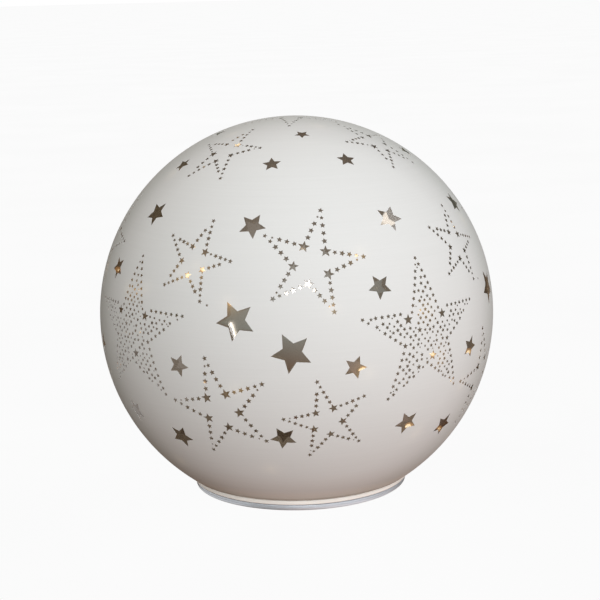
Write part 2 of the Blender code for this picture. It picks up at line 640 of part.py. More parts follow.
def string_route():
    """Points along the LED wire with the wire's radius at each point."""
    wire = STRING_WIRE_RADIUS
    rise = [(0, GROMMET_Y, board_top_z() + GAP + 0.1), (0, GROMMET_Y, 18), (0, GROMMET_Y, 26.5),
            (0, 46, 31), (0, 58, 33)]
    points = [Vector(point) for point in smooth_path(rise, 2)]
    radii = [wire] * len(points)
    places = [Vector(place) for place in LED_PLACES]
    legs = 4
    for index, place in enumerate(places):
        before = places[max(index - 1, 0)]
        after = places[min(index + 1, len(places) - 1)]
        following = places[min(index + 2, len(places) - 1)]
        centre = ball_point(*place, STRING_LIE_RADIUS)
        ahead = (ball_point(*(place + (after - before) * 0.01), STRING_LIE_RADIUS)
                 - centre).normalized()
        for offset, radius in ((-1.0, wire), (-0.8, 0.8 * LED_DROP_RADIUS), (0.0, LED_DROP_RADIUS),
                               (0.8, 0.8 * LED_DROP_RADIUS), (1.0, wire)):
            points.append(centre + ahead * offset * LED_DROP_HALF_LENGTH)
            radii.append(radius)
        if index == len(places) - 1:
            break
        leg = smooth_path([before.to_3d(), place.to_3d(), after.to_3d(), following.to_3d()], legs)
        for step in range(1, legs):
            lon, lat, _ = leg[legs + step]
            points.append(ball_point(lon, lat, STRING_LIE_RADIUS))
            radii.append(wire)
    return points, radii


def make_light_string():
    points, radii = string_route()
    look = material("copper_wire", (0.72, 0.45, 0.25), 0.3, 0.9)
    solid("fairy_light_string", tube_shape(points, radii, 5), look)


def clear_scene():
    for piece in list(bpy.data.objects):
        bpy.data.objects.remove(piece, do_unlink=True)


def build():
    clear_scene()
    make_glass_globe()
    make_rim_seal()
    make_base_plate()
    make_feet()
    make_battery_door()
    make_cells()
    make_springs()
    make_contacts()
    make_board()
    make_switch()
    make_screws()
    make_cover()
    make_grommet()
    make_leads()
    make_light_string()


build()
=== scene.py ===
"""Looks of the star-window glass ball lamp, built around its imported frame.

The ball is a blown glass shell with a smoky metal film as its inner skin, and a matt white paint
coat around it. The coat is a thin shell of its own whose star windows are cut right through, so
the dark film and the glow of the LEDs show in the stars.

Lengths are metres. Directions on the ball are written as longitude and latitude in degrees, with
longitude 0 at the front (-Y) and growing towards +X.
"""
import json
import math
import random

import bmesh
import bpy
import numpy as np
from mathutils import Matrix, Quaternion, Vector
from mathutils.geometry import delaunay_2d_cdt


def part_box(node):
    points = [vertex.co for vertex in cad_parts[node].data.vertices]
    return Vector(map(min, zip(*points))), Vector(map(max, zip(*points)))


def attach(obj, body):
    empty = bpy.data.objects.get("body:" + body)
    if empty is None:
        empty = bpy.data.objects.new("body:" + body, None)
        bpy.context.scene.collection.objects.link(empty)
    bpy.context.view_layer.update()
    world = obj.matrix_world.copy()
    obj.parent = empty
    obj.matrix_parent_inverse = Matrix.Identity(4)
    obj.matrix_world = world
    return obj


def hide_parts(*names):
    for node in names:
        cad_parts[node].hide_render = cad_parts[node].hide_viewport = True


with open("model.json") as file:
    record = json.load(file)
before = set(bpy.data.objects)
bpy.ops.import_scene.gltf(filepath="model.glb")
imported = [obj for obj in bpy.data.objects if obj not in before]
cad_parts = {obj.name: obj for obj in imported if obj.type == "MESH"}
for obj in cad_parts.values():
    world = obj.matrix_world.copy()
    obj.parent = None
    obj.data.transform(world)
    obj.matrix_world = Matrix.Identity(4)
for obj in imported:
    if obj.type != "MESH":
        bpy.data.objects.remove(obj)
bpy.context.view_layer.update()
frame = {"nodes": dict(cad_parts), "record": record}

MM = 0.001
LAMP = "lamp"

# The ball, from the frame
GLOBE_LOW, GLOBE_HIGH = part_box("glass_globe")
BALL_RADIUS = 100 * MM
BALL_CENTRE = Vector((0, 0, GLOBE_HIGH.z - BALL_RADIUS))
GLASS_WALL = 2.0 * MM
RIM_Z = GLOBE_LOW.z
RIM_OUTER_RADIUS = 55.3 * MM
RIM_INNER_RADIUS = 52.4 * MM
GLASS_RINGS = 110
GLASS_STEPS = 192
RIM_STEPS = 240                 # sides of the coat's lower edge, the seal and the base
COAT_GAP = 0.02 * MM            # between the coat and the glass, so that their skins don't fight
COAT_THICKNESS = 0.09 * MM
FLANGE_RADIUS = 54.6 * MM
COAT_END_Z = RIM_Z + 0.9 * MM   # the spray stops just above the rim

# The LEDs, in their order along the wire (longitude, latitude)
LED_PLACES = (
    (180, -37), (222, -33), (266, -27), (312, -38), (350, -36), (398.4, -27.2), (424, -35),
    (450, -32), (482, -24), (526, -14), (566, -6), (606, -10), (642, -13), (703, -9),
    (738.6, -5.6), (762.4, -4.6), (774, -15), (783, -8), (818, 3), (858, 12), (898, 9),
    (936, 14), (969, 13), (1003, 17.2), (1024.6, 14.2), (1033, 15.5), (1045.5, 20.8),
    (1050.7, 23), (1061.3, 14), (1089.5, 12.3), (1099.2, 26.2), (1117.6, 8.6), (1152, 30),
    (1194, 44), (1240, 38), (1300, 43), (1342, 47), (1375.6, 49.5), (1384.6, 69.4),
    (1470, 75),
)
STRING_LIE_RADIUS = 94.6 * MM
WIRE_RADIUS = 0.28 * MM
COAT_GLOW_REACH = 3.2 * MM      # how far an LED lights the coat around it, and the film
FILM_GLOW_REACH = 7 * MM
LED_RADIUS = 1.7 * MM
LED_HALF_LENGTH = 2.8 * MM
LED_DRAW_IN = 0.45              # how much narrower a drop gets at its ends than a plain oval


# ---- directions on the ball ----

def direction(longitude, latitude):
    lon, lat = math.radians(longitude), math.radians(latitude)
    return Vector((math.cos(lat) * math.sin(lon), -math.cos(lat) * math.cos(lon), math.sin(lat)))


def ball_point(longitude, latitude, radius):
    return BALL_CENTRE + direction(longitude, latitude) * radius


def stepped(start, east, north):
    """The direction reached from start by going this many degrees along the ball."""
    east_axis = Vector((0, 0, 1)).cross(start).normalized()
    north_axis = start.cross(east_axis)
    angle = math.radians(math.hypot(east, north))
    way = math.atan2(east, north)
    side = east_axis * math.sin(way) + north_axis * math.cos(way)
    return start * math.cos(angle) + side * math.sin(angle)


# ---- the star pattern ----
#
# Most designs repeat four times around the ball, a little unevenly: places are the (longitude,
# latitude) of the repeats. A size is the tip radius in degrees, a turn is clockwise in degrees, a
# dot is in mm, and sag is how many degrees the notches lie below their even place.

OUTLINE_STARS = (
    dict(size=11.6, turn=15.5, squeeze=0.925, sag=0.35,
         places=((-30.8, 24.8), (57.8, 24.6), (148.5, 24.8), (239, 24.6))),
    dict(size=14.6, turn=14, dot=1.45, sag=0.9,
         places=((4.7, 24.9), (95, 25.3), (185.5, 24.9), (277, 26.2))),
    dict(size=15.0, turn=-14, dot=1.45,
         places=((-21.8, -15.6), (67.8, -15.4), (158, -15.6), (248, -15.5))),
    dict(size=12.2, turn=-14.5, places=((7.8, -18.8), (98, -18.6), (188, -18.8), (278, -18.6))),
    dict(size=12.7, turn=0, squeeze=0.8, notch=0.34,
         places=((-41, 60.4), (59.3, 61.8), (146, 61), (232, 61))),
    dict(size=13.6, turn=0, squeeze=1.0, places=((177, 89.9),)),
)
DOTTED_STARS = (
    dict(size=20.4, turn=-0.4, places=((37.1, 2.7), (127, 2.9), (217.5, 2.7))),
    dict(size=20.4, turn=0, places=((-51.8, 3.6),)),
)
SOLID_STARS = (
    dict(size=3.8, turn=27, places=((-13.5, 34.8), (73.8, 35.2), (166, 35), (256, 34.8))),
    dict(size=3.9, turn=28, places=((32.5, 35.1), (-54.5, 36.5), (123, 35.2), (213, 35.5))),
    dict(size=3.5, turn=43, places=((23.5, 16.8), (-65, 19), (114, 17), (203, 17))),
    dict(size=5.5, turn=46, places=((-16.3, 9.3), (73.2, 9.4), (163, 9.3), (253, 9.4))),
    dict(size=5.6, turn=46, places=((-1.5, 1.0), (88.5, 1.2), (178.5, 1.0), (268.5, 1.1))),
    dict(size=3.3, turn=22, places=((-33.6, -3.8), (55.8, -4.3), (146, -4), (236, -4))),
    dict(size=3.3, turn=22, places=((15.1, -3.7), (105, -3.8), (195, -3.7), (285, -4))),
    dict(size=3.9, turn=28, places=((-38.6, -26.3), (51, -27.3), (141, -26.5), (231, -27))),
    dict(size=3.8, turn=45, places=((-4.7, -23.8), (85, -23.6), (175, -23.8), (265, -23.7))),
    dict(size=3.8, turn=46, places=((32.9, -22.5), (-58, -21.3), (122.5, -22), (212.5, -22))),
    dict(size=2.7, turn=-9, places=((-10, 55.5), (80, 55.5), (170, 55.5), (260, 55))),
    dict(size=2.8, turn=8, places=((26.9, 56.1), (-63, 53.2), (117, 55.5), (207, 55.5))),
    dict(size=2.3, turn=43, places=((8, 69.9), (-80, 68.5), (98, 69.5), (188, 69.5))),
)
LONE_DOTS = ((-24.7, 13.0), (65.0, 13.2))
# Larger stars inside a dotted star: degrees east and north of its middle, and radius in mm.
DOTTED_STAR_JEWELS = (
    (-6.1, 4.6, 2.8), (5.9, 4.6, 2.7), (1.9, -6.2, 2.7), (-2.6, 1.4, 1.7), (-7.5, -2.3, 1.6),
    (7.4, -2.3, 1.5), (-2.9, -8.7, 1.6), (2.3, 1.5, 1.25), (3.3, -2.3, 1.15), (-3.3, -2.4, 1.2),
    (-6.8, 1.0, 1.1), (6.6, 1.1, 1.1), (-2.0, -5.4, 1.2), (-7.1, -6.0, 1.15), (-9.6, -14.1, 1.15),
    (-6.4, -12.5, 1.2), (6.5, -12.6, 1.15), (9.7, -14.1, 1.15), (-17.1, 6.0, 1.1),
    (-15.6, 3.8, 1.2), (-11.0, 1.7, 1.15), (15.5, 3.9, 1.1), (10.9, 1.8, 1.1), (2.1, 6.8, 1.1),
    (-1.5, 11.7, 1.1), (1.2, 10.0, 1.15), (0.2, 15.1, 1.1),
)
OUTLINE_NOTCH = 0.355           # radius of a star's notches as a share of its tips'
OUTLINE_SQUEEZE = 0.95          # the large stars are this much narrower than they are tall
SOLID_NOTCH = 0.475
DOTTED_NOTCH = 0.385
SMALL_NOTCH = 0.5
DOTS_PER_EDGE = 4
DOT_STEP = 0.19                 # spacing of the dots along an edge, as a share of its length
DOTTED_EDGE_STEPS = 8
LATTICE_PITCH = 1.95            # degrees between neighbours in a row of a dotted star
LATTICE_ROW = 1.12              # degrees between rows
DOT_RADIUS = 1.15 * MM
SMALLEST_WINDOW = 0.5 * MM
BRIDGE = 0.1 * MM               # paint left between two windows
MOST_WINDOWS = 4000
JEWEL_NOTCH = 0.42
NOTCH_STAR_NOTCH = 0.43
NOTCH_STAR_SHARE = 2.0          # a notch's star, as a share of the dots beside it
TIP_STAR_SHARE = 1.05
LONE_DOT_RADIUS = 0.8 * MM
DEFAULT_DOT = 1.28              # mm
FIRST_DOT_SHARE = 0.82          # the dot next to a tip, as a share of the others
DOT_SPREAD = (0.92, 1.06)
NOTCH_TURN_SPREAD = 14          # degrees either way
JEWEL_TURN_SPREAD = 8
STAR_SYMMETRY = 72              # a five-pointed star looks the same after this turn
LATTICE_DOT_SHARES = (0.7, 0.85, 0.95, 1.0)
LATTICE_SHIFT_EAST = 0.28       # degrees either way
LATTICE_SHIFT_NORTH = 0.22
SOLID_EDGE_STEPS = 5
PATTERN_SEED = 5


def star_outline(size, notch, turn, squeeze=1.0):
    """The ten corners of a star, clockwise from its top tip."""
    corners = []
    for corner in range(10):
        radius = size * (notch if corner % 2 else 1.0)
        angle = math.radians(turn) + corner * math.pi / 5
        corners.append((radius * math.sin(angle) * squeeze, radius * math.cos(angle)))
    return corners


def edges_of(outline):
    """Pairs of neighbouring corners around an outline."""
    return zip(outline, outline[1:] + outline[:1])


def between(start, end, part):
    """The flat point this part of the way from start to end."""
    return start[0] + (end[0] - start[0]) * part, start[1] + (end[1] - start[1]) * part


def inside(point, outline):
    """Whether a flat point lies in an outline, by counting the edges it passes under."""
    x, y = point
    odd = False
    for (ax, ay), (bx, by) in edges_of(outline):
        if (ay > y) != (by > y) and x < (bx - ax) * (y - ay) / (by - ay) + ax:
            odd = not odd
    return odd


class Windows:
    """The star windows of the coat: each is a ring of directions on the ball."""

    def __init__(self):
        self.rings = []
        self.centres = np.empty((MOST_WINDOWS, 3))
        self.radii = np.empty(MOST_WINDOWS)

    def add(self, centre, radius, notch, turn, edge_steps=1):
        """A star of this radius in metres, made smaller where a neighbour leaves less room."""
        radius = min(radius, self.room(centre))
        if radius < SMALLEST_WINDOW:
            return
        outline = star_outline(math.degrees(radius / BALL_RADIUS), notch, turn)
        ring = [stepped(centre, *between(start, end, step / edge_steps))
                for start, end in edges_of(outline) for step in range(edge_steps)]
        self.centres[len(self.rings)] = centre
        self.radii[len(self.rings)] = radius
        self.rings.append(ring)

    def gaps(self, centre):
        """Distances along the ball from here to the edge of each window's circle."""
        count = len(self.rings)
        away = np.linalg.norm(self.centres[:count] - np.array(centre), axis=1) * BALL_RADIUS
        return away - self.radii[:count]

    def room(self, centre):
        """The radius a window may have here without touching those already cut."""
        return self.gaps(centre).min() - BRIDGE if self.rings else BALL_RADIUS


def add_outline_star(windows, chance, star, place):
    """A star drawn by small stars along its edges, with a larger one in each notch."""
    middle = direction(*place)
    dot = star.get("dot", DEFAULT_DOT) * MM
    outline = star_outline(star["size"], star.get("notch", OUTLINE_NOTCH), star["turn"],
                           star.get("squeeze", OUTLINE_SQUEEZE))
    sag = star.get("sag", 0)
    outline = [(x, y - sag * (corner % 2)) for corner, (x, y) in enumerate(outline)]
    for corner, (x, y) in enumerate(outline):
        turn = star["turn"] + chance.uniform(-NOTCH_TURN_SPREAD, NOTCH_TURN_SPREAD)
        notch_here = corner % 2 == 1
        share = NOTCH_STAR_SHARE if notch_here else TIP_STAR_SHARE
        windows.add(stepped(middle, x, y), dot * share, NOTCH_STAR_NOTCH, turn)
        tip = outline[(corner + 1) % 10] if notch_here else (x, y)
        notch = (x, y) if notch_here else outline[(corner + 1) % 10]
        for step in range(1, DOTS_PER_EDGE + 1):
            east, north = between(tip, notch, step * DOT_STEP)
            near_tip = FIRST_DOT_SHARE if step == 1 else 1.0
            windows.add(stepped(middle, east, north), dot * near_tip * chance.uniform(*DOT_SPREAD),
                        SMALL_NOTCH, chance.uniform(0, STAR_SYMMETRY))


def add_dotted_star(windows, chance, star, place):
    """A star filled by a loose lattice of tiny stars, with a few larger ones among them."""
    middle = direction(*place)
    for east, north, radius in DOTTED_STAR_JEWELS:
        windows.add(stepped(middle, east, north), radius * MM, JEWEL_NOTCH,
                    chance.uniform(-JEWEL_TURN_SPREAD, JEWEL_TURN_SPREAD))
    outline = star_outline(star["size"], DOTTED_NOTCH, star["turn"])
    spots = [(*between(start, end, step / DOTTED_EDGE_STEPS), 1.0)
             for start, end in edges_of(outline) for step in range(DOTTED_EDGE_STEPS)]
    rows = int(star["size"] / LATTICE_ROW)
    columns = int(star["size"] / LATTICE_PITCH)
    for row in range(-rows, rows + 1):
        for column in range(-columns, columns + 1):
            east = (column + 0.5 * (row % 2)) * LATTICE_PITCH
            east += chance.uniform(-LATTICE_SHIFT_EAST, LATTICE_SHIFT_EAST)
            north = row * LATTICE_ROW + chance.uniform(-LATTICE_SHIFT_NORTH, LATTICE_SHIFT_NORTH)
            if inside((east, north), outline):
                spots.append((east, north, chance.choice(LATTICE_DOT_SHARES)))
    for east, north, share in spots:
        windows.add(stepped(middle, east, north), DOT_RADIUS * share, SMALL_NOTCH,
                    chance.uniform(0, STAR_SYMMETRY))


def star_windows():
    chance = random.Random(PATTERN_SEED)
    windows = Windows()
    for star in SOLID_STARS:
        for place in star["places"]:
            radius = math.radians(star["size"]) * BALL_RADIUS
            windows.add(direction(*place), radius, SOLID_NOTCH, star["turn"], SOLID_EDGE_STEPS)
    for star in OUTLINE_STARS:
        for place in star["places"]:
            add_outline_star(windows, chance, star, place)
    for place in LONE_DOTS:
        windows.add(direction(*place), LONE_DOT_RADIUS, SMALL_NOTCH, 0)
    for star in DOTTED_STARS:
        for place in star["places"]:
            add_dotted_star(windows, chance, star, place)
    return windows


# ---- meshes ----

def add_object(name, data):
    """A new object, in the scene."""
    thing = bpy.data.objects.new(name, data)
    bpy.context.scene.collection.objects.link(thing)
    return thing


def add_piece(name, mesh, *looks):
    """A mesh as a piece that rides on the lamp's fixed body."""
    piece = add_object(name, mesh)
    for look in looks:
        mesh.materials.append(look)
    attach(piece, LAMP)
    return piece


def smoothed(mesh, angle=35):
    mesh.shade_smooth()
    mesh.set_sharp_from_angle(angle=math.radians(angle))
    return mesh


def mesh_from(name, shape):
    """A finished bmesh as a mesh."""
    mesh = bpy.data.meshes.new(name)
    shape.to_mesh(mesh)
    shape.free()
    return mesh


def turned_mesh(name, profile, steps, closed=True):
    """A profile of (radius, z) spun about Z; an open profile starts and ends on the axis."""
    shape = bmesh.new()
    verts = [shape.verts.new((radius, 0.0, z)) for radius, z in profile]
    ends = verts[1:] + (verts[:1] if closed else [])
    edges = [shape.edges.new(pair) for pair in zip(verts, ends)]
    bmesh.ops.spin(shape, geom=verts + edges, cent=(0, 0, 0), axis=(0, 0, 1),
                   angle=2 * math.pi, steps=steps, use_merge=True)
    bmesh.ops.remove_doubles(shape, verts=shape.verts[:], dist=0.001 * MM)
    bmesh.ops.recalc_face_normals(shape, faces=shape.faces[:])
    return smoothed(mesh_from(name, shape))


def arc(centre, radius, start, end, steps):
    """Points of an arc in a profile's plane, from a start to an end angle in degrees."""
    points = []
    for step in range(steps + 1):
        angle = math.radians(start + (end - start) * step / steps)
        points.append((centre[0] + radius * math.cos(angle), centre[1] + radius * math.sin(angle)))
    return points


def add_glow(mesh, reach):
    """Stores at each point how strongly the nearest LEDs light it, falling off over reach."""
    points = np.empty(len(mesh.vertices) * 3, np.float32)
    mesh.vertices.foreach_get("co", points)
    points = points.reshape(-1, 3)
    glow = np.zeros(len(points), np.float32)
    for place in LED_PLACES:
        skin = np.array(ball_point(*place, BALL_RADIUS))
        distance = np.linalg.norm(points - skin, axis=1)
        glow += np.exp(-(distance / reach) ** 1.5)
    layer = mesh.attributes.new("glow", "FLOAT", "POINT")
    layer.data.foreach_set("value", glow.astype(np.float32))


# ---- the paint coat ----

FILL_POINTS = 15000             # points spread evenly over the whole ball, to shape the coat
FILL_CLEARANCE = 0.5 * MM       # none is nearer than this to a window
FILL_ABOVE_RIM = 0.012          # nor nearer than this to the coat's end, in ball radii
SAME_POINT = 1e-9


def flattened(way):
    """Stereographic map of a direction, seen from the bottom of the ball."""
    spread = math.tan(math.acos(max(-1.0, min(1.0, way.z))) / 2)
    angle = math.atan2(way.y, way.x)
    return Vector((spread * math.cos(angle), spread * math.sin(angle)))


def raised(point):
    """The direction that flattened() put here."""
    colatitude = 2 * math.atan(point.length)
    angle = math.atan2(point.y, point.x)
    return Vector((math.sin(colatitude) * math.cos(angle), math.sin(colatitude) * math.sin(angle),
                   math.cos(colatitude)))


def coat_sheet(windows):
    """Directions and triangles of the coat, with every window left open."""
    end_z = (COAT_END_Z - BALL_CENTRE.z) / BALL_RADIUS
    points, edges, owner = [], [], []
    for index, ring in enumerate(windows.rings):
        start = len(points)
        points += [flattened(way) for way in ring]
        owner += [index] * len(ring)
        edges += [(start + corner, start + (corner + 1) % len(ring))
                  for corner in range(len(ring))]
    rim_spread = math.tan(math.acos(end_z) / 2)
    start = len(points)
    for step in range(RIM_STEPS):
        angle = 2 * math.pi * step / RIM_STEPS
        points.append(Vector((math.cos(angle), math.sin(angle))) * rim_spread)
        edges.append((start + step, start + (step + 1) % RIM_STEPS))
    owner += [-1] * RIM_STEPS
    golden = math.pi * (3 - math.sqrt(5))
    for index in range(FILL_POINTS):
        z = 1 - 2 * (index + 0.5) / FILL_POINTS
        if z < end_z + FILL_ABOVE_RIM:
            break
        ring = math.sqrt(1 - z * z)
        way = Vector((ring * math.cos(index * golden), ring * math.sin(index * golden), z))
        if windows.gaps(way).min() > FILL_CLEARANCE:
            points.append(flattened(way))
            owner.append(-1)
    flat, _, faces, _, _, _ = delaunay_2d_cdt(points, edges, [], 0, SAME_POINT, False)
    outlines = [[tuple(flattened(way)) for way in ring] for ring in windows.rings]
    kept = []
    for face in faces:
        window = owner[face[0]]
        if window >= 0 and owner[face[1]] == window and owner[face[2]] == window:
            middle = (flat[face[0]] + flat[face[1]] + flat[face[2]]) / 3
            if inside(middle, outlines[window]):
                continue
        kept.append(tuple(face))
    return [raised(point) for point in flat], kept


def make_coat(windows, outside, underside):
    """The coat's two skins and the walls around its openings, each with its true normals."""
    ways, faces = coat_sheet(windows)
    ways = np.array(ways)
    count = len(ways)
    centre = np.array(BALL_CENTRE)
    inner_radius = BALL_RADIUS + COAT_GAP
    outer = centre + ways * (inner_radius + COAT_THICKNESS)
    inner = centre + ways * inner_radius
    outward = []
    for a, b, c in faces:
        across = np.cross(ways[b] - ways[a], ways[c] - ways[a])
        outward.append((a, b, c) if across @ ways[a] > 0 else (a, c, b))
    sides = {(a, b) for face in outward for a, b in zip(face, face[1:] + face[:1])}
    open_sides = [side for side in sides if (side[1], side[0]) not in sides]
    open_sides.sort()
    inward = [(c + count, b + count, a + count) for a, b, c in outward]
    walls = [(b, a, a + count, b + count) for a, b in open_sides]
    mesh = bpy.data.meshes.new("globe_paint_coat")
    mesh.from_pydata(np.vstack((outer, inner)).tolist(), [], outward + inward + walls)
    mesh.shade_smooth()
    normals = [tuple(ways[corner]) for face in outward for corner in face]
    normals += [tuple(-ways[corner - count]) for face in inward for corner in face]
    for wall in mesh.polygons[len(outward) + len(inward):]:
        normals += [tuple(wall.normal)] * 4
    mesh.normals_split_custom_set(normals)
    add_glow(mesh, COAT_GLOW_REACH)
    coat = add_piece("globe_paint_coat", mesh, outside, underside)
    for face in mesh.polygons[len(outward):len(outward) + len(inward)]:
        face.material_index = 1


# ---- glass and film ----

def make_glass(clear, film):
    """The blown shell: clear outside and at the rim, with the metal film on its inner skin."""
    middle = (0, BALL_CENTRE.z)
    inner_radius = BALL_RADIUS - GLASS_WALL
    outer_end = math.degrees(math.asin((RIM_Z + 0.8 * MM - BALL_CENTRE.z) / BALL_RADIUS))
    inner_end = math.degrees(math.asin((RIM_Z - BALL_CENTRE.z) / inner_radius))
    profile = arc(middle, BALL_RADIUS, 90, outer_end, GLASS_RINGS)
    profile += arc((RIM_OUTER_RADIUS + 0.1 * MM, RIM_Z + 0.6 * MM), 0.6 * MM, 0, -90, 5)
    profile += [(RIM_INNER_RADIUS, RIM_Z)]
    profile += arc(middle, inner_radius, inner_end, 90, GLASS_RINGS)[1:]
    mesh = turned_mesh("globe_glass", profile, GLASS_STEPS, closed=False)
    add_glow(mesh, FILM_GLOW_REACH)
    glass = add_piece("globe_glass", mesh, clear, film)
    for face in mesh.polygons:
        reach = (face.center - BALL_CENTRE).length
        if reach < BALL_RADIUS - GLASS_WALL * 0.75 and face.center.z > RIM_Z + 0.2 * MM:
            face.material_index = 1
    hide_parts("glass_globe")


# ---- seal and base ----

SEAL_INNER_RADIUS = 51.6 * MM
BEAD_OVERHANG = 0.4 * MM        # the bead's edge past the CAD ring's
BEAD_ABOVE = 0.38 * MM
BEAD_BELOW = 0.12 * MM
BEAD_ROUND = 0.5 * MM
BEAD_FLARE = 0.1 * MM           # the bead is this much wider at its top


def make_seal(look):
    """A soft ring under the glass, whose bead laps over the rim and over the base's edge."""
    low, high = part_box("rim_seal")
    bead = high.x + BEAD_OVERHANG
    top, bottom = high.z + BEAD_ABOVE, low.z - BEAD_BELOW
    profile = [(SEAL_INNER_RADIUS, low.z), (FLANGE_RADIUS + 0.1 * MM, low.z),
               (FLANGE_RADIUS + 0.25 * MM, bottom)]
    profile += arc((bead - BEAD_ROUND, bottom + BEAD_ROUND), BEAD_ROUND, -75, 0, 5)
    profile += arc((bead + BEAD_FLARE - BEAD_ROUND, top - BEAD_ROUND), BEAD_ROUND, 0, 75, 5)
    profile += [(high.x + 0.2 * MM, high.z + 0.25 * MM), (high.x - 0.2 * MM, high.z),
                (SEAL_INNER_RADIUS, high.z)]
    seal = add_piece("rim_seal_ring", turned_mesh("rim_seal_ring", profile, RIM_STEPS), look)
    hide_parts("rim_seal")


def block(low, high):
    """A box between two corners, in mm."""
    shape = bmesh.new()
    bmesh.ops.create_cube(shape, size=1.0)
    middle = [(a + b) / 2 * MM for a, b in zip(low, high)]
    size = [(b - a) * MM for a, b in zip(low, high)]
    for vert in shape.verts:
        vert.co = Vector([m + c * s for m, c, s in zip(middle, vert.co, size)])
    return shape


def rod(centre, radius, low_z, high_z, sides=48):
    """An upright cylinder, in mm."""
    shape = bmesh.new()
    place = Matrix.Translation((centre[0] * MM, centre[1] * MM, (low_z + high_z) / 2 * MM))
    bmesh.ops.create_cone(shape, cap_ends=True, segments=sides, radius1=radius * MM,
                          radius2=radius * MM, depth=(high_z - low_z) * MM, matrix=place)
    return shape


def merged(shapes):
    """Shapes that don't touch, as one mesh object."""
    whole = bmesh.new()
    for shape in shapes:
        part = mesh_from("part", shape)
        whole.from_mesh(part)
        bpy.data.meshes.remove(part)
    return add_object("cutter", mesh_from("cutter", whole))


def carved(mesh, steps):
    """The mesh after each (operation, shapes) step has been applied to it."""
    work = add_object("work", mesh)
    helpers = []
    for operation, shapes in steps:
        helper = merged(shapes)
        helpers.append(helper)
        cut = work.modifiers.new("cut", "BOOLEAN")
        cut.operation = operation
        cut.solver = "EXACT"
        cut.object = helper
    bpy.context.view_layer.update()
    seen = work.evaluated_get(bpy.context.evaluated_depsgraph_get())
    result = bpy.data.meshes.new_from_object(seen)
    for spare in [work] + helpers:
        spare_mesh = spare.data
        bpy.data.objects.remove(spare)
        bpy.data.meshes.remove(spare_mesh)
    return result


def four_around(radius, angle):
    """Places at plus and minus an angle to the left and to the right, in mm."""
    x, y = radius * math.cos(math.radians(angle)), radius * math.sin(math.radians(angle))
    return [(x, y), (-x, y), (-x, -y), (x, -y)]


# The base tray, in mm
FLANGE_UNDERSIDE_Z = 1.0
FLANGE_INNER_RADIUS = 51.3
FLANGE_ROUND = 0.6
FLOOR_UNDERSIDE_Z = 2.0
FLOOR_TOP_Z = 4.0
TRAY_RADIUS = 51.2
TRAY_WALL = 1.8
TRAY_TOP_Z = 21.5
WELL_HALF_X = 29.0
WELL_HALF_Y = 23.0
WELL_TOP_Z = 19.2
WELL_WALL = 1.6
OPENING_LEFT_X = -35.1
OPENING_RIGHT_X = 31.35
OPENING_HALF_Y = 24.5
SEAT_MARGIN = 2.1               # reinforced frame around the opening
HINGE_X = -33.0
HINGE_Z = 3.6
HINGE_ROOM_TOP_Z = 5.8
PIN_HOLE_RADIUS = 1.3
PIN_HOLE_END_Y = 27.2
COVER_SCREWS = four_around(43.5, 52.0)
BOARD_SCREWS = ((-13.5, 40.5), (13.5, 40.5))
FEET = four_around(46.2, 45.0)
LEAD_SLOTS = ((-29.8, 15.0), (29.8, -15.0))
LEAD_SLOT_Z = 14.6
SWITCH_Y = 36.0
ROOT_Z = 3.0                    # blocks and bosses start inside the floor
BELOW_Z = -1.0                  # cutters start under the base
EDGE_BEVEL = 0.4
LINE_DEPTH = 0.15               # the fine turned line around the flange
FLANGE_TOP_ROUND = 0.3
GROOVE_RADIUS = 52.8            # the shadow groove under the seal


def tray_profile():
    """Half of the tray's section: its underside, its flange, its wall and its floor."""
    flange = FLANGE_RADIUS / MM
    line = flange - LINE_DEPTH
    inner = TRAY_RADIUS - TRAY_WALL
    profile = [(0, FLOOR_UNDERSIDE_Z), (FLANGE_INNER_RADIUS - EDGE_BEVEL, FLOOR_UNDERSIDE_Z),
               (FLANGE_INNER_RADIUS, FLANGE_UNDERSIDE_Z)]
    profile += arc((flange - FLANGE_ROUND, FLANGE_UNDERSIDE_Z + FLANGE_ROUND), FLANGE_ROUND,
                   -90, 0, 6)
    profile += [(flange, 2.35), (line, 2.5), (line, 2.62), (flange, 2.77)]
    profile += arc((flange - FLANGE_TOP_ROUND, 3.25), FLANGE_TOP_ROUND, 0, 90, 6)
    profile += [(GROOVE_RADIUS + 0.2, 3.6), (GROOVE_RADIUS, 3.75), (GROOVE_RADIUS, FLOOR_TOP_Z),
                (TRAY_RADIUS, FLOOR_TOP_Z), (TRAY_RADIUS, TRAY_TOP_Z - EDGE_BEVEL),
                (TRAY_RADIUS - EDGE_BEVEL, TRAY_TOP_Z), (inner + EDGE_BEVEL, TRAY_TOP_Z),
                (inner, TRAY_TOP_Z - EDGE_BEVEL), (inner, FLOOR_TOP_Z + 0.5),
                (inner - 0.5, FLOOR_TOP_Z), (0, FLOOR_TOP_Z)]
    return [(radius * MM, z * MM) for radius, z in profile]


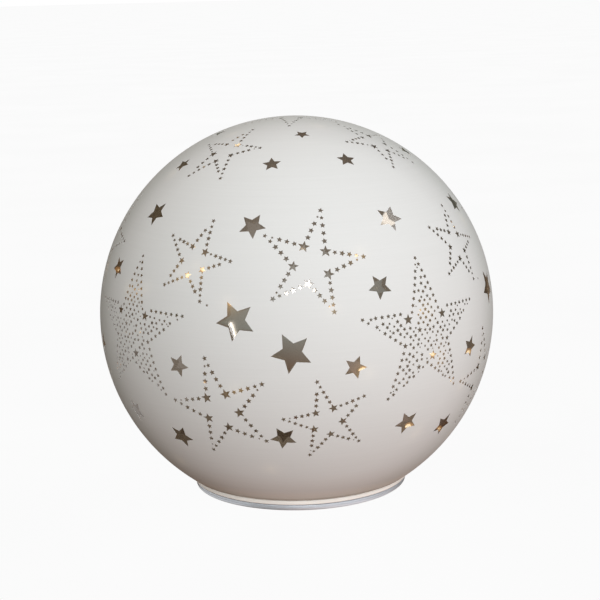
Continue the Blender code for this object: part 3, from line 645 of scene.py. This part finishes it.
def tray_steps():
    """What is joined to the turned tray, and what is then cut out of it.

    Joined are the screws' bosses and posts, the battery room, the frame around its opening, and
    the blocks for the hinge and for the door's tongue. Cut out are the insides of these, the
    tongue's slot, a finger's dip beside the door, and the holes.
    """
    well_x, well_y = WELL_HALF_X + WELL_WALL, WELL_HALF_Y + WELL_WALL
    seat_x, seat_y = OPENING_RIGHT_X + SEAT_MARGIN, OPENING_HALF_Y + SEAT_MARGIN
    hinge_y = PIN_HOLE_END_Y + 1.0
    joined = [
        [rod(place, 3.2, ROOT_Z, 21.3) for place in COVER_SCREWS]
        + [rod(place, 2.2, ROOT_Z, 9.3) for place in BOARD_SCREWS],
        [block((-well_x, -well_y, ROOT_Z), (well_x, well_y, WELL_TOP_Z + WELL_WALL))],
        [block((-seat_x, -seat_y, ROOT_Z), (seat_x, seat_y, HINGE_ROOM_TOP_Z))],
        [block((OPENING_LEFT_X - 1.7, -hinge_y, ROOT_Z),
               (-WELL_HALF_X - 0.6, hinge_y, HINGE_ROOM_TOP_Z + WELL_WALL))],
        [block((29.2, -7.0, ROOT_Z), (33.65, 7.0, 8.6))],
    ]
    pin_hole = bmesh.new()
    turn = Matrix.Translation((HINGE_X * MM, 0, HINGE_Z * MM)) @ Matrix.Rotation(math.pi / 2, 4, "X")
    bmesh.ops.create_cone(pin_hole, cap_ends=True, segments=32, radius1=PIN_HOLE_RADIUS * MM,
                          radius2=PIN_HOLE_RADIUS * MM, depth=2 * PIN_HOLE_END_Y * MM, matrix=turn)
    holes = [rod(place, 1.4, 9.0, 22.5, 24) for place in COVER_SCREWS]
    holes += [rod(place, 1.05, 5.2, 10.6, 24) for place in BOARD_SCREWS]
    holes += [block((x - WELL_WALL, y - 2.0, LEAD_SLOT_Z - 1.0),
                    (x + WELL_WALL, y + 2.0, LEAD_SLOT_Z + 1.0)) for x, y in LEAD_SLOTS]
    holes += [rod(place, 4.3, BELOW_Z, 2.6) for place in FEET]
    holes += [block((-4.5, SWITCH_Y - 1.75, BELOW_Z), (4.5, SWITCH_Y + 1.75, 5.0))]
    cut_away = [
        [block((-WELL_HALF_X, -WELL_HALF_Y, BELOW_Z), (WELL_HALF_X, WELL_HALF_Y, WELL_TOP_Z))],
        [block((OPENING_LEFT_X, -OPENING_HALF_Y, BELOW_Z), (OPENING_RIGHT_X, OPENING_HALF_Y, 4.1))],
        [block((OPENING_LEFT_X, -OPENING_HALF_Y, BELOW_Z),
               (-30.9, OPENING_HALF_Y, HINGE_ROOM_TOP_Z))],
        [pin_hole],
        [block((29.5, -4.7, BELOW_Z), (31.6, 4.7, 7.0))],
        [rod((36.0, 0), 7.0, BELOW_Z, 3.0, 64)],
        holes,
    ]
    return [("UNION", shapes) for shapes in joined] + [("DIFFERENCE", shapes) for shapes in cut_away]


def make_base(look):
    """The moulded tray: its ringed flange is turned, then its well, seats and holes are cut."""
    tray = turned_mesh("base_tray", tray_profile(), RIM_STEPS, closed=False)
    mesh = carved(tray, tray_steps())
    mesh.name = "base_tray"
    mesh.materials.clear()
    base = add_piece("base_tray", smoothed(mesh, 30), look)
    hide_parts("base_plate")


# ---- the LED string ----

def smooth_path(points, steps):
    """Catmull-Rom curve through points, with its ends repeated."""
    padded = [points[0]] + list(points) + [points[-1]]
    path = []
    for before, start, end, after in zip(padded, padded[1:], padded[2:], padded[3:]):
        for step in range(steps):
            part = step / steps
            path.append(0.5 * (2 * start + (end - before) * part
                               + (2 * before - 5 * start + 4 * end - after) * part ** 2
                               + (3 * start - before - 3 * end + after) * part ** 3))
    return path + [points[-1]]


def tube_mesh(name, points, radii, sides):
    """A capped tube swept along points, whose section keeps from twisting."""
    shape = bmesh.new()
    last = len(points) - 1
    across = None
    rings = []
    for index, point in enumerate(points):
        along = (points[min(index + 1, last)] - points[max(index - 1, 0)]).normalized()
        if across is None:
            across = along.orthogonal()
        across = (across - along * across.dot(along)).normalized()
        beside = along.cross(across)
        ring = []
        for side in range(sides):
            angle = 2 * math.pi * side / sides
            offset = across * math.cos(angle) + beside * math.sin(angle)
            ring.append(shape.verts.new(point + offset * radii[index]))
        rings.append(ring)
    for lower, upper in zip(rings, rings[1:]):
        for side in range(sides):
            after = (side + 1) % sides
            shape.faces.new((lower[side], lower[after], upper[after], upper[side]))
    shape.faces.new(rings[0][::-1])
    shape.faces.new(rings[-1])
    return smoothed(mesh_from(name, shape), 50)


WIRE_ABOVE_BOARD = 0.4 * MM
WIRE_ABOVE_GROMMET = 3 * MM
WIRE_BEND = Vector((0, 46 * MM, 31 * MM))       # where the wire turns outwards
WIRE_LANDING = Vector((0, 58 * MM, 33 * MM))    # where it comes near the glass
RISE_STEPS = 6
STRING_STEPS = 8


def string_path():
    """The wire's way up through the grommet and around the inside of the glass."""
    grommet_low, grommet_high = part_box("wire_grommet")
    start = (grommet_low + grommet_high) / 2
    board_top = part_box("circuit_board")[1].z + WIRE_ABOVE_BOARD
    rise = [Vector((0, start.y, board_top)), Vector((0, start.y, start.z)),
            Vector((0, start.y, start.z + WIRE_ABOVE_GROMMET)), WIRE_BEND, WIRE_LANDING]
    around = []
    places = [Vector(place) for place in LED_PLACES]
    for longitude, latitude in smooth_path(places, STRING_STEPS):
        around.append(ball_point(longitude, latitude, STRING_LIE_RADIUS))
    return smooth_path(rise, RISE_STEPS)[:-1] + around


def drop_shaped(point):
    """A unit sphere's point moved onto a moulded LED drop, which draws in to its wire."""
    along = point.z
    draw_in = 1.0 - LED_DRAW_IN * along ** 2
    wide = LED_RADIUS * draw_in
    return Vector((point.x * wide, point.y * wide, along * LED_HALF_LENGTH))


def make_string(wire_look, led_look):
    path = string_path()
    wire = add_piece("fairy_light_wire",
                     tube_mesh("fairy_light_wire", path, [WIRE_RADIUS] * len(path), 8), wire_look)
    shape = bmesh.new()
    places = [Vector(place) for place in LED_PLACES]
    for index, place in enumerate(places):
        before = places[max(index - 1, 0)]
        after = places[min(index + 1, len(places) - 1)]
        centre = ball_point(*place, STRING_LIE_RADIUS)
        ahead = ball_point(*(place + (after - before) * 0.01), STRING_LIE_RADIUS) - centre
        turn = ahead.to_track_quat("Z", "Y").to_matrix().to_4x4()
        drop = bmesh.ops.create_uvsphere(shape, u_segments=20, v_segments=16, radius=1.0)
        for vert in drop["verts"]:
            vert.co = drop_shaped(vert.co)
        bmesh.ops.transform(shape, matrix=Matrix.Translation(centre) @ turn, verts=drop["verts"])
    mesh = mesh_from("fairy_light_drops", shape)
    mesh.shade_smooth()
    drops = add_piece("fairy_light_drops", mesh, led_look)
    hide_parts("fairy_light_string")


# ---- materials ----

NOISE_ROUGHNESS = 0.55
RIM_SHADE_REACH = 20 * MM              # how far above the rim the painted shade and lighter painted band reach
GLASS_IOR = 1.5
FILM_CLEARNESS = 0.1            # share of the film that is see-through


class Nodes:
    """Adds nodes to a tree in short calls."""

    def __init__(self, tree):
        self.tree = tree

    def node(self, kind, inputs=None, **settings):
        """A shader node with its settings; an input takes a socket to link or a plain value."""
        node = self.tree.nodes.new("ShaderNode" + kind)
        for name, value in settings.items():
            setattr(node, name, value)
        for name, value in (inputs or {}).items():
            if isinstance(value, bpy.types.NodeSocket):
                self.tree.links.new(value, node.inputs[name])
            else:
                node.inputs[name].default_value = value
        return node

    def maths(self, operation, first, second):
        return self.node("Math", {0: first, 1: second}, operation=operation).outputs[0]

    def vector_maths(self, operation, first, second):
        return self.node("VectorMath", {0: first, 1: second}, operation=operation).outputs[0]

    def mix(self, share, first, second):
        """The first shader, with this share of it replaced by the second."""
        return self.node("MixShader", {0: share, 1: first.outputs[0], 2: second.outputs[0]})


class Look(Nodes):
    """Builds one material."""

    def __init__(self, name):
        self.material = bpy.data.materials.new(name)
        self.material.use_nodes = True
        super().__init__(self.material.node_tree)
        self.tree.nodes.clear()
        self.output = self.node("OutputMaterial")
        self.coordinates = self.node("TexCoord")

    def noise(self, scale, stretch=(1, 1, 1), detail=3.0):
        """Noise in the lamp's own frame, with features of about 1 / scale metres."""
        mapping = self.node("Mapping", {"Vector": self.coordinates.outputs["Object"],
                                        "Scale": stretch})
        return self.node("TexNoise", {
            "Vector": mapping.outputs[0], "Scale": scale, "Detail": detail,
            "Roughness": NOISE_ROUGHNESS}).outputs[0]

    def ramp(self, value, stops):
        """Colour ramp of (place, colour) stops."""
        node = self.node("ValToRGB", {"Fac": value})
        elements = node.color_ramp.elements
        while len(elements) < len(stops):
            elements.new(0.5)
        for element, (place, colour) in zip(elements, stops):
            element.position = place
            element.color = (*colour, 1.0)
        return node.outputs[0]

    def spread(self, value, low, high):
        """A 0 to 1 value moved to the range from low to high."""
        return self.node("MapRange", {"Value": value, "To Min": low, "To Max": high}).outputs[0]

    def facing(self):
        """From 0 where the surface is seen square on to 1 at its outline."""
        return self.node("LayerWeight", {"Blend": 0.5}).outputs["Facing"]

    def glow(self):
        """What add_glow() stored."""
        return self.node("Attribute", attribute_name="glow").outputs["Fac"]

    def bump(self, height, distance, strength):
        return self.node("Bump", {"Height": height, "Distance": distance,
                                  "Strength": strength}).outputs[0]

    def principled(self, **inputs):
        named = {name.replace("_", " "): value for name, value in inputs.items()}
        return self.show(self.node("BsdfPrincipled", named))

    def show(self, shader):
        """Makes this shader the material's surface."""
        self.tree.links.new(shader.outputs[0], self.output.inputs["Surface"])
        return shader


def shaded(colour, factor):
    return tuple(channel * factor for channel in colour)


def coat_look():
    """Matt white spray: faint turned lines, a fine grain, and a warm halo over each LED.

    Towards the rim, painted shade turns the white brown, with a lighter band of painted reflection
    just above it; painted shade also darkens the outline.
    """
    look = Look("sprayed_white")
    lines = look.noise(22, stretch=(1, 1, 60), detail=4)
    grain = look.noise(2600, detail=2)
    white = look.ramp(lines, [(0.25, (0.79, 0.79, 0.785)), (0.75, (0.81, 0.81, 0.807))])
    place = look.node("SeparateXYZ", {0: look.coordinates.outputs["Object"]})
    rise = look.node("MapRange", {"Value": place.outputs[2], "From Min": RIM_Z,
                                  "From Max": RIM_Z + RIM_SHADE_REACH}).outputs[0]
    # Painted shade and light: the white turns brown at the rim, with a lighter painted band a few mm
    # above it.
    painted_rim_shade_and_light = look.ramp(rise, [(0.0, (0.52, 0.43, 0.35)), (0.06, (0.80, 0.71, 0.63)),
                            (0.13, (1.05, 1.0, 0.94)), (0.24, (1.06, 1.0, 0.95)),
                            (0.42, (0.98, 0.95, 0.93)), (1.0, (1.0, 1.0, 1.0))])
    # Painted shade: the coat darkens towards its outline, as seen from the camera.
    painted_edge_shade = look.ramp(look.facing(), [(0.5, (1.0, 1.0, 1.0)), (0.65, (0.94, 0.94, 0.94)),
                                    (0.78, (0.84, 0.85, 0.84)), (1.0, (0.76, 0.77, 0.76))])
    for painted_shading in (painted_rim_shade_and_light, painted_edge_shade):
        white = look.vector_maths("MULTIPLY", white, painted_shading)
    height = look.maths("ADD", lines, grain)
    # Painted light: an amber emission stands in for the LEDs' light shining through the paint.
    strength = look.maths("MULTIPLY", look.glow(), 0.05)
    look.principled(Base_Color=white, Roughness=look.spread(grain, 0.5, 0.62),
                    Specular_IOR_Level=0.05, Normal=look.bump(height, 0.03 * MM, 0.35),
                    Emission_Color=(1.0, 0.74, 0.42, 1.0), Emission_Strength=strength)
    return look.material


def coat_underside_look():
    """The back of the coat, with painted light standing in for the studio light through the paint:
    the film mirrors it at window edges.
    """
    look = Look("coat_underside")
    # Painted light: an emission for studio light passing through the paint, fading at grazing
    # angles.
    painted_light_through = look.ramp(look.facing(), [(0.0, (0.50, 0.45, 0.39)), (0.3, (0.40, 0.36, 0.31)),
                                       (0.5, (0.16, 0.14, 0.12)), (0.8, (0.05, 0.04, 0.03))])
    cloud = look.ramp(look.noise(40), [(0.3, (0.85, 0.85, 0.85)), (0.7, (1.1, 1.1, 1.1))])
    look.principled(Base_Color=(0.8, 0.8, 0.79, 1), Roughness=0.6,
                    Emission_Color=look.vector_maths("MULTIPLY", painted_light_through, cloud),
                    Emission_Strength=1.0)
    look.material.cycles.emission_sampling = "NONE"
    return look.material


def glass_look():
    """Clear glass: what is behind it, tinted a little, under its own reflection.

    Light isn't bent on its way in, so none may be held back on its way out either.
    """
    look = Look("clear_glass")
    wave = look.noise(28, detail=1)
    normal = look.bump(wave, 0.2 * MM, 0.2)
    see = look.node("BsdfTransparent", {"Color": (0.93, 0.92, 0.90, 1.0)})
    shine = look.node("BsdfGlossy", {"Color": (1, 1, 1, 1), "Roughness": 0.03, "Normal": normal})
    edge = look.node("Fresnel", {"IOR": GLASS_IOR, "Normal": normal}).outputs[0]
    leaving = look.node("NewGeometry").outputs["Backfacing"]
    # Sockets 2 and 3 of a Mix node are its two numbers.
    share = look.node("Mix", {0: leaving, 2: edge, 3: 0.0}).outputs[0]
    look.show(look.mix(share, see, shine))
    return look.material


def film_look():
    """Smoky metal film with faint upright streaks; painted light makes it glow amber around each LED
    and faintly all over.
    """
    look = Look("smoky_film")
    streaks = look.noise(300, stretch=(1, 1, 0.07), detail=3)
    clouds = look.noise(22, detail=2)
    tone = look.spread(look.maths("ADD", streaks, clouds), -0.5, 1.5)
    metal = look.ramp(tone, [(0.3, (0.085, 0.076, 0.067)), (0.7, (0.20, 0.182, 0.161))])
    # Painted light: amber emission standing in for the LEDs lighting the film.
    painted_led_light = look.ramp(look.glow(), [(0.0, (0.0, 0.0, 0.0)), (0.3, (0.03, 0.016, 0.005)),
                                    (0.6, (0.11, 0.066, 0.022)), (1.0, (0.30, 0.20, 0.08))])
    # Painted light: a faint emission over the whole film, so that its windows don't go dark where it
    # mirrors little.
    painted_film_light = look.ramp(tone, [(0.3, (0.020, 0.015, 0.010)), (0.7, (0.04, 0.031, 0.022))])
    mirror = look.principled(Base_Color=metal, Metallic=1.0,
                             Specular_Tint=(0.35, 0.32, 0.28, 1.0),
                             Roughness=look.spread(streaks, 0.05, 0.12),
                             Normal=look.bump(clouds, 0.3 * MM, 0.2),
                             Emission_Color=look.vector_maths("ADD", painted_led_light, painted_film_light),
                             Emission_Strength=1.0)
    see = look.node("BsdfTransparent", {"Color": (1, 0.93, 0.85, 1)})
    look.show(look.mix(FILM_CLEARNESS, mirror, see))
    look.material.cycles.emission_sampling = "NONE"
    return look.material


def led_look():
    look = Look("warm_led")
    colour = look.ramp(look.facing(), [(0.0, (1.0, 0.93, 0.74)), (0.1, (1.0, 0.80, 0.50)),
                                       (0.3, (0.22, 0.11, 0.035)), (1.0, (0.04, 0.018, 0.006))])
    look.principled(Base_Color=(0.9, 0.8, 0.6, 1), Roughness=0.2, Emission_Color=colour,
                    Emission_Strength=10.0)
    look.material.cycles.emission_sampling = "NONE"
    return look.material


def satin_look(name, colour):
    """Silver-grey moulding with a soft metallic lustre and faint turned lines."""
    look = Look(name)
    flow = look.noise(160, stretch=(1, 1, 14), detail=4)
    fine = look.noise(1600, detail=2)
    tone = look.ramp(flow, [(0.3, shaded(colour, 0.93)), (0.7, shaded(colour, 1.05))])
    look.principled(Base_Color=tone, Metallic=0.6, Roughness=look.spread(fine, 0.3, 0.42),
                    Normal=look.bump(fine, 0.01 * MM, 0.4))
    return look.material


def plastic_look(name, colour, roughness, grain=1500, depth=0.02 * MM, glow=0.0):
    """Moulded plastic or rubber: a spark-eroded grain, faint mottling and uneven gloss."""
    look = Look(name)
    fine = look.noise(grain, detail=3)
    broad = look.noise(60, detail=3)
    tone = look.ramp(broad, [(0.3, shaded(colour, 0.95)), (0.7, shaded(colour, 1.04))])
    # glow is painted light: an even emission that brightens the part without any lamp.
    look.principled(Base_Color=tone, Roughness=look.spread(fine, roughness - 0.06,
                                                           roughness + 0.08),
                    Specular_IOR_Level=0.4, Normal=look.bump(fine, depth, 0.5),
                    Emission_Color=(*colour, 1.0), Emission_Strength=glow)
    return look.material


def metal_look(name, colour, roughness, stretch=(1, 1, 1)):
    """Plated metal: fine drawn lines and a cloudy gloss."""
    look = Look(name)
    drawn = look.noise(900, stretch=stretch, detail=4)
    clouds = look.noise(180, detail=3)
    tone = look.ramp(clouds, [(0.3, shaded(colour, 0.86)), (0.7, shaded(colour, 1.06))])
    look.principled(Base_Color=tone, Metallic=1.0,
                    Roughness=look.spread(drawn, roughness - 0.07, roughness + 0.1),
                    Normal=look.bump(drawn, 0.01 * MM, 0.4))
    return look.material


# The looks of the CAD nodes' slots: what plastic_look() and metal_look() take after the name
PLASTICS = {
    "cover_plastic": ((0.78, 0.78, 0.77), 0.42),
    "door_plastic": ((0.49, 0.52, 0.56), 0.46),
    "circuit_board_green": ((0.03, 0.20, 0.08), 0.35, 700),
    "black_epoxy": ((0.02, 0.02, 0.022), 0.5),
    "resistor_tan": ((0.62, 0.45, 0.26), 0.35),
    "black_knob": ((0.025, 0.025, 0.027), 0.45),
    "grommet_rubber": ((0.03, 0.03, 0.03), 0.7),
    "foot_rubber": ((0.22, 0.22, 0.23), 0.75, 1800, 0.03 * MM),
    "red_sleeve": ((0.6, 0.03, 0.02), 0.35),
    "black_sleeve": ((0.02, 0.02, 0.02), 0.35),
}
METALS = {
    "cell_sleeve": ((0.16, 0.20, 0.26), 0.3, (0.2, 1, 1)),
    "spring_wire": ((0.75, 0.75, 0.74), 0.2),
    "nickel_contact": ((0.72, 0.71, 0.68), 0.26, (1, 0.1, 1)),
    "crystal_can": ((0.74, 0.74, 0.75), 0.18, (0.1, 1, 1)),
    "switch_metal": ((0.66, 0.67, 0.68), 0.3, (0.1, 1, 1)),
    "zinc_screw": ((0.70, 0.71, 0.72), 0.28),
}


def dress_cad_nodes():
    """Gives every CAD node that stays in view its slot's procedural material."""
    made = {}
    for subpart in frame["record"]["subparts"]:
        node = frame["nodes"][subpart["node"]]
        slot = subpart["material_slot"]
        if node.hide_render:
            continue
        if slot not in made and slot in PLASTICS:
            made[slot] = plastic_look(slot + "_look", *PLASTICS[slot])
        elif slot not in made:
            made[slot] = metal_look(slot + "_look", *METALS[slot])
        node.data.materials.clear()
        node.data.materials.append(made[slot])


# ---- stage, light and camera ----

CAMERA_DISTANCE = 8 * BALL_RADIUS
CAMERA_ELEVATION = math.radians(11.71)
CAMERA_ROLL = math.radians(1.49)
LENS = 93.5
SHIFT = (0.00566, 0.01992)
SENSOR_WIDTH = 36.0
SOFTBOX_DISTANCE = 1.3
FLOOR_HALF_SIDE = 40.0
FLOOR_GAP = 0.2 * MM            # the floor lies this far under the feet


def make_floor():
    """A plain pale floor. It only tints what is seen through it, so that an open battery door
    still shows below the table plane, and it throws no light up at the lamp."""
    mesh = bpy.data.meshes.new("studio_floor")
    side = FLOOR_HALF_SIDE
    corners = [(-side, -side, 0), (side, -side, 0), (side, side, 0), (-side, side, 0)]
    mesh.from_pydata(corners, [], [(0, 1, 2, 3)])
    floor = add_object("studio_floor", mesh)
    floor.location.z = -FLOOR_GAP
    look = Look("pale_floor")
    tone = look.ramp(look.noise(4), [(0.3, (0.955, 0.955, 0.955)), (0.7, (0.97, 0.97, 0.97))])
    look.show(look.node("BsdfTransparent", {"Color": tone}))
    mesh.materials.append(look.material)
    for rays in ("diffuse", "glossy", "transmission", "shadow"):
        setattr(floor, "visible_" + rays, False)


# The studio's light from each direction: a level, and how it grows to the right, to the front,
# upwards and again to the front. Red, green and blue are apart, so the shade side turns warm.
LIGHT_ABOVE = dict(level=(0.08, 0.12, 0.07), right=(0.12, 0.14, 0.17),
                   front=(0.52, 0.57, 0.60), up=(0.65, 0.53, 0.54),
                   middle=(0.46, 0.52, 0.58))
LIGHT_BELOW = dict(level=(-0.09, -0.27, -0.35), right=(1.21, 1.25, 1.30),
                   front=(0.65, 0.58, 0.55))
DARKEST_LIGHT = (0.09, 0.055, 0.035)
ONLY_BELOW_Z = -0.45            # the light below fades into the light above between these heights
ONLY_ABOVE_Z = 0.05


def make_world():
    """White behind the lamp for the camera, and a soft studio all around for its light."""
    world = bpy.data.worlds.new("studio")
    bpy.context.scene.world = world
    world.use_nodes = True
    world.node_tree.nodes.clear()
    sky = Nodes(world.node_tree)

    way = sky.node("TexCoord").outputs["Generated"]
    axes = sky.node("SeparateXYZ", {0: way}).outputs
    front = sky.maths("MULTIPLY", axes[1], -1.0)
    shares = {"right": axes[0], "front": front, "up": axes[2],
              "middle": sky.maths("MULTIPLY", front, front)}

    def light(parts):
        total = sky.node("CombineXYZ", dict(enumerate(parts["level"]))).outputs[0]
        for name, colour in parts.items():
            if name != "level":
                scaled = sky.node("VectorMath", {0: colour, "Scale": shares[name]},
                                  operation="SCALE").outputs[0]
                total = sky.vector_maths("ADD", total, scaled)
        return total

    above = sky.node("MapRange", {"Value": axes[2], "From Min": ONLY_BELOW_Z,
                                  "From Max": ONLY_ABOVE_Z}).outputs[0]
    # Sockets 4 and 5 of a Mix node are its two vectors, and output 1 is the mixed one.
    whole = sky.node("Mix", {0: above, 4: light(LIGHT_BELOW), 5: light(LIGHT_ABOVE)},
                     data_type="VECTOR").outputs[1]
    whole = sky.vector_maths("MAXIMUM", whole, DARKEST_LIGHT)
    studio = sky.node("Background", {0: whole})
    white = sky.node("Background", {0: (1, 1, 1, 1)})
    seen = sky.node("LightPath").outputs["Is Camera Ray"]
    sky.node("OutputWorld", {0: sky.mix(seen, studio, white).outputs[0]})


def add_softbox(name, place, size, radiance, tilt=0, diffuse=True, glossy=True):
    """A rectangular light that faces the ball from a (longitude, latitude).

    It is given by the brightness of its face. It may leave out either kind of light: what falls on
    matt surfaces (diffuse) or what is seen mirrored (glossy).
    """
    light = bpy.data.lights.new(name, "AREA")
    light.shape = "RECTANGLE"
    light.size, light.size_y = size
    light.energy = radiance * math.pi * size[0] * size[1]
    box = add_object(name, light)
    box.location = ball_point(*place, SOFTBOX_DISTANCE)
    turn = (box.location - BALL_CENTRE).to_track_quat("Z", "Y")
    box.rotation_euler = (turn @ Quaternion((0, 0, 1), math.radians(tilt))).to_euler()
    box.visible_diffuse = diffuse
    box.visible_glossy = glossy


def make_lights():
    add_softbox("front_softbox", (3.6, 23.6), (0.47, 0.19), radiance=9.0, tilt=29)
    add_softbox("right_softbox", (84.5, 42.0), (0.27, 0.28), radiance=3.8)
    add_softbox("left_strip", (-34.8, 0.6), (0.04, 0.21), radiance=9.0, tilt=22, diffuse=False)
    add_softbox("left_card", (-100.0, -22.0), (2.2, 0.8), radiance=0.75, diffuse=False)
    add_softbox("rear_softbox", (180.0, 17.0), (0.8, 0.5), radiance=4.5, glossy=False)


def make_camera():
    """Long lens at the front, a little above the ball's middle and rolled a touch."""
    data = bpy.data.cameras.new("photo_camera")
    data.lens = LENS
    data.sensor_width = SENSOR_WIDTH
    data.shift_x, data.shift_y = SHIFT
    camera = add_object("photo_camera", data)
    turn = (Matrix.Rotation(math.pi / 2 - CAMERA_ELEVATION, 4, "X")
            @ Matrix.Rotation(-CAMERA_ROLL, 4, "Z"))
    camera.matrix_world = (Matrix.Translation(BALL_CENTRE) @ turn
                           @ Matrix.Translation((0, 0, CAMERA_DISTANCE)))
    bpy.context.scene.camera = camera


def build():
    make_glass(glass_look(), film_look())
    make_coat(star_windows(), coat_look(), coat_underside_look())
    # The seal's glow is painted light that brightens the cream bead.
    make_seal(plastic_look("cream_silicone_look", (0.95, 0.90, 0.85), 0.4, 1200, glow=0.10))
    make_base(satin_look("pale_plastic_look", (0.70, 0.75, 0.82)))
    copper = metal_look("copper_wire_look", (0.72, 0.42, 0.22), 0.25)
    make_string(copper, led_look())
    dress_cad_nodes()
    make_floor()
    make_world()
    make_lights()
    make_camera()
    bpy.context.scene.view_settings.view_transform = "Standard"


build()
